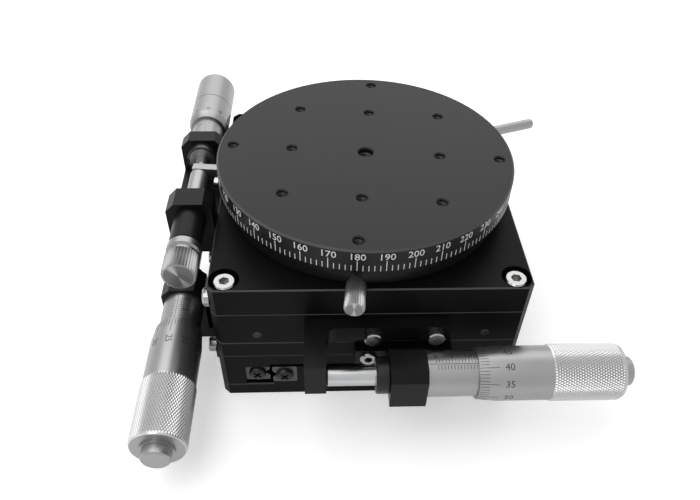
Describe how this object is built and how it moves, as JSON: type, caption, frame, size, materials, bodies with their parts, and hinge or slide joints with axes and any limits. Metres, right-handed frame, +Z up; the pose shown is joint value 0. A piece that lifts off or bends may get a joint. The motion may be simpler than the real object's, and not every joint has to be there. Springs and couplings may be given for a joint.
{
  "type": "three-axis micrometer stage",
  "caption": "Square two-way crossed-roller stage carrying a round rotation table with a degree scale, moved by large micrometer heads and a fine rotation drive.",
  "frame": {"origin": "on the turntable's axis, at the underside of the base plate, with both slides at rest", "axes": "+Z up along the turntable's axis, +X the way the upper slide runs (towards its micrometer thimble), +Y the way the lower slide runs, away from its thimble"},
  "size_m": [0.1558, 0.1515, 0.0669],
  "materials": {
    "black_anodised_plate": "black anodised aluminium, satin, milled and edge-chamfered",
    "black_anodised_table": "black anodised aluminium, fine-turned top, engraved white scale on the rim",
    "black_anodised_bracket": "black anodised aluminium, matte",
    "guide_steel": "ground and hardened steel",
    "stainless_screw": "bright stainless steel",
    "black_screw": "black oxide steel",
    "satin_chrome": "satin chrome plate with engraved black graduations",
    "knurled_chrome": "satin chrome plate, knurled grip",
    "polished_steel": "ground and polished steel",
    "lock_nut_black": "black oxide steel",
    "silver_nut": "bright steel",
    "bearing_steel": "ground bearing steel",
    "brass": "plain brass",
    "spring_steel": "drawn spring steel wire"
  },
  "bodies": {
    "base": {"y_base_plate": "black_anodised_plate", "y_inner_rails": "guide_steel", "y_base_fasteners": "black_screw", "y_return_spring": "spring_steel", "y_holder": "black_anodised_bracket", "y_holder_screws": "stainless_screw", "y_sleeve": "satin_chrome", "y_lock_nut": "lock_nut_black"},
    "y_cages": {"y_roller_cages": "bearing_steel"},
    "y_carriage": {"y_table_plate": "black_anodised_plate", "y_outer_rails": "guide_steel", "y_table_fasteners": "black_screw", "y_anvil": "black_anodised_bracket", "y_anvil_screws": "stainless_screw", "x_base_plate": "black_anodised_plate", "x_inner_rails": "guide_steel", "x_base_fasteners": "black_screw", "x_return_spring": "spring_steel", "x_holder": "black_anodised_bracket", "x_holder_screws": "stainless_screw", "x_sleeve": "satin_chrome", "x_lock_nut": "lock_nut_black"},
    "x_cages": {"x_roller_cages": "bearing_steel"},
    "x_carriage": {"x_table_plate": "black_anodised_plate", "x_outer_rails": "guide_steel", "x_table_fasteners": "black_screw", "x_anvil": "black_anodised_bracket", "x_anvil_screws": "stainless_screw", "rotation_body": "black_anodised_plate", "body_screws": "stainless_screw", "bearing_outer_race": "bearing_steel", "bearing_retainer": "bearing_steel", "fine_bracket": "black_anodised_bracket", "fine_bracket_screws": "stainless_screw", "fine_sleeve": "satin_chrome", "fine_lock_nut": "silver_nut", "plunger_housing": "black_anodised_bracket"},
    "bearing_cage": {"bearing_rollers": "bearing_steel"},
    "clamp_ring": {"clamp_ring": "black_anodised_table", "tangent_arm": "polished_steel", "arm_screws": "stainless_screw"},
    "turntable": {"turntable_disc": "black_anodised_table", "turning_lever": "polished_steel", "turntable_hub": "black_anodised_table", "hub_nut": "bearing_steel", "bearing_inner_race": "bearing_steel"},
    "clamp_pad": {"clamp_pad": "brass"},
    "clamp_knob": {"clamp_knob": "knurled_chrome"},
    "y_spindle": {"y_spindle": "polished_steel"},
    "y_thimble": {"y_thimble": "knurled_chrome", "y_thimble_cap": "polished_steel"},
    "x_spindle": {"x_spindle": "polished_steel"},
    "x_thimble": {"x_thimble": "knurled_chrome", "x_thimble_cap": "polished_steel"},
    "fine_spindle": {"fine_spindle": "polished_steel"},
    "fine_thimble": {"fine_thimble": "satin_chrome", "fine_thimble_cap": "knurled_chrome"},
    "plunger": {"plunger": "polished_steel"},
    "preload_spring": {"plunger_spring": "spring_steel"},
    "preload_knob": {"preload_knob": "knurled_chrome"}
  },
  "joints": [
    {"name": "y_travel", "type": "slide", "parent": "base", "child": "y_carriage", "axis": [0, 1, 0], "range_m": [-0.0125, 0.01]},
    {"name": "y_cage_travel", "type": "slide", "parent": "base", "child": "y_cages", "axis": [0, 1, 0], "range_m": [-0.0063, 0.0051]},
    {"name": "y_spindle_travel", "type": "slide", "parent": "base", "child": "y_spindle", "axis": [0, 1, 0], "range_m": [-0.0126, 0.0101]},
    {"name": "y_thimble_turn", "type": "hinge", "parent": "y_spindle", "child": "y_thimble", "pos_m": [-0.065, -0.06, 0.0174], "axis": [0, -1, 0], "range_deg": [-7260, 9060]},
    {"name": "x_travel", "type": "slide", "parent": "y_carriage", "child": "x_carriage", "axis": [1, 0, 0], "range_m": [-0.0125, 0.012]},
    {"name": "x_cage_travel", "type": "slide", "parent": "y_carriage", "child": "x_cages", "axis": [1, 0, 0], "range_m": [-0.0063, 0.0061]},
    {"name": "x_spindle_travel", "type": "slide", "parent": "y_carriage", "child": "x_spindle", "axis": [1, 0, 0], "range_m": [-0.0126, 0.0121]},
    {"name": "x_thimble_turn", "type": "hinge", "parent": "x_spindle", "child": "x_thimble", "pos_m": [0.05, -0.064, 0.02775], "axis": [1, 0, 0], "range_deg": [-9060, 8700]},
    {"name": "table_turn", "type": "hinge", "parent": "x_carriage", "child": "turntable", "pos_m": [0, 0, 0.06], "axis": [0, 0, 1], "continuous": true},
    {"name": "cage_turn", "type": "hinge", "parent": "x_carriage", "child": "bearing_cage", "pos_m": [0, 0, 0.0471], "axis": [0, 0, 1], "continuous": true},
    {"name": "ring_turn", "type": "hinge", "parent": "x_carriage", "child": "clamp_ring", "pos_m": [0, 0, 0.055], "axis": [0, 0, 1], "range_deg": [-3.9, 8.85]},
    {"name": "fine_spindle_travel", "type": "slide", "parent": "x_carriage", "child": "fine_spindle", "axis": [0, 1, 0], "range_m": [-0.0092, 0.0041]},
    {"name": "fine_thimble_turn", "type": "hinge", "parent": "fine_spindle", "child": "fine_thimble", "pos_m": [-0.0577, 0.04, 0.0549], "axis": [0, 1, 0], "range_deg": [-6600, 2940]},
    {"name": "plunger_travel", "type": "slide", "parent": "x_carriage", "child": "plunger", "axis": [0, 1, 0], "range_m": [-0.0092, 0.0041]},
    {"name": "clamp_pad_travel", "type": "slide", "parent": "clamp_ring", "child": "clamp_pad", "axis": [0.0993, 0.9951, 0], "range_m": [0, 0.00025]},
    {"name": "clamp_knob_turn", "type": "hinge", "parent": "clamp_pad", "child": "clamp_knob", "pos_m": [-0.00546, -0.05473, 0.05505], "axis": [0.0993, 0.9951, 0], "range_deg": [0, 181]},
    {"name": "preload_spring_travel", "type": "slide", "parent": "x_carriage", "child": "preload_spring", "axis": [0, 1, 0], "range_m": [-0.001, 0]},
    {"name": "preload_knob_turn", "type": "hinge", "parent": "preload_spring", "child": "preload_knob", "pos_m": [-0.0577, -0.043, 0.0549], "axis": [0, 1, 0], "range_deg": [-721, 0]}
  ],
  "couplings": [
    {"joint": "y_spindle_travel", "follows": "y_travel", "ratio": 1},
    {"joint": "y_cage_travel", "follows": "y_travel", "ratio": 0.5},
    {"joint": "y_thimble_turn", "follows": "y_travel", "rad_per_m": -12566},
    {"joint": "x_spindle_travel", "follows": "x_travel", "ratio": 1},
    {"joint": "x_cage_travel", "follows": "x_travel", "ratio": 0.5},
    {"joint": "x_thimble_turn", "follows": "x_travel", "rad_per_m": 12566},
    {"joint": "cage_turn", "follows": "table_turn", "ratio": 0.5},
    {"joint": "fine_spindle_travel", "follows": "ring_turn", "m_per_rad": -0.058},
    {"joint": "plunger_travel", "follows": "ring_turn", "m_per_rad": -0.058},
    {"joint": "fine_thimble_turn", "follows": "ring_turn", "ratio": -728.85},
    {"joint": "clamp_knob_turn", "follows": "clamp_pad_travel", "rad_per_m": 12566},
    {"joint": "preload_knob_turn", "follows": "preload_spring_travel", "rad_per_m": 12566}
  ]
}
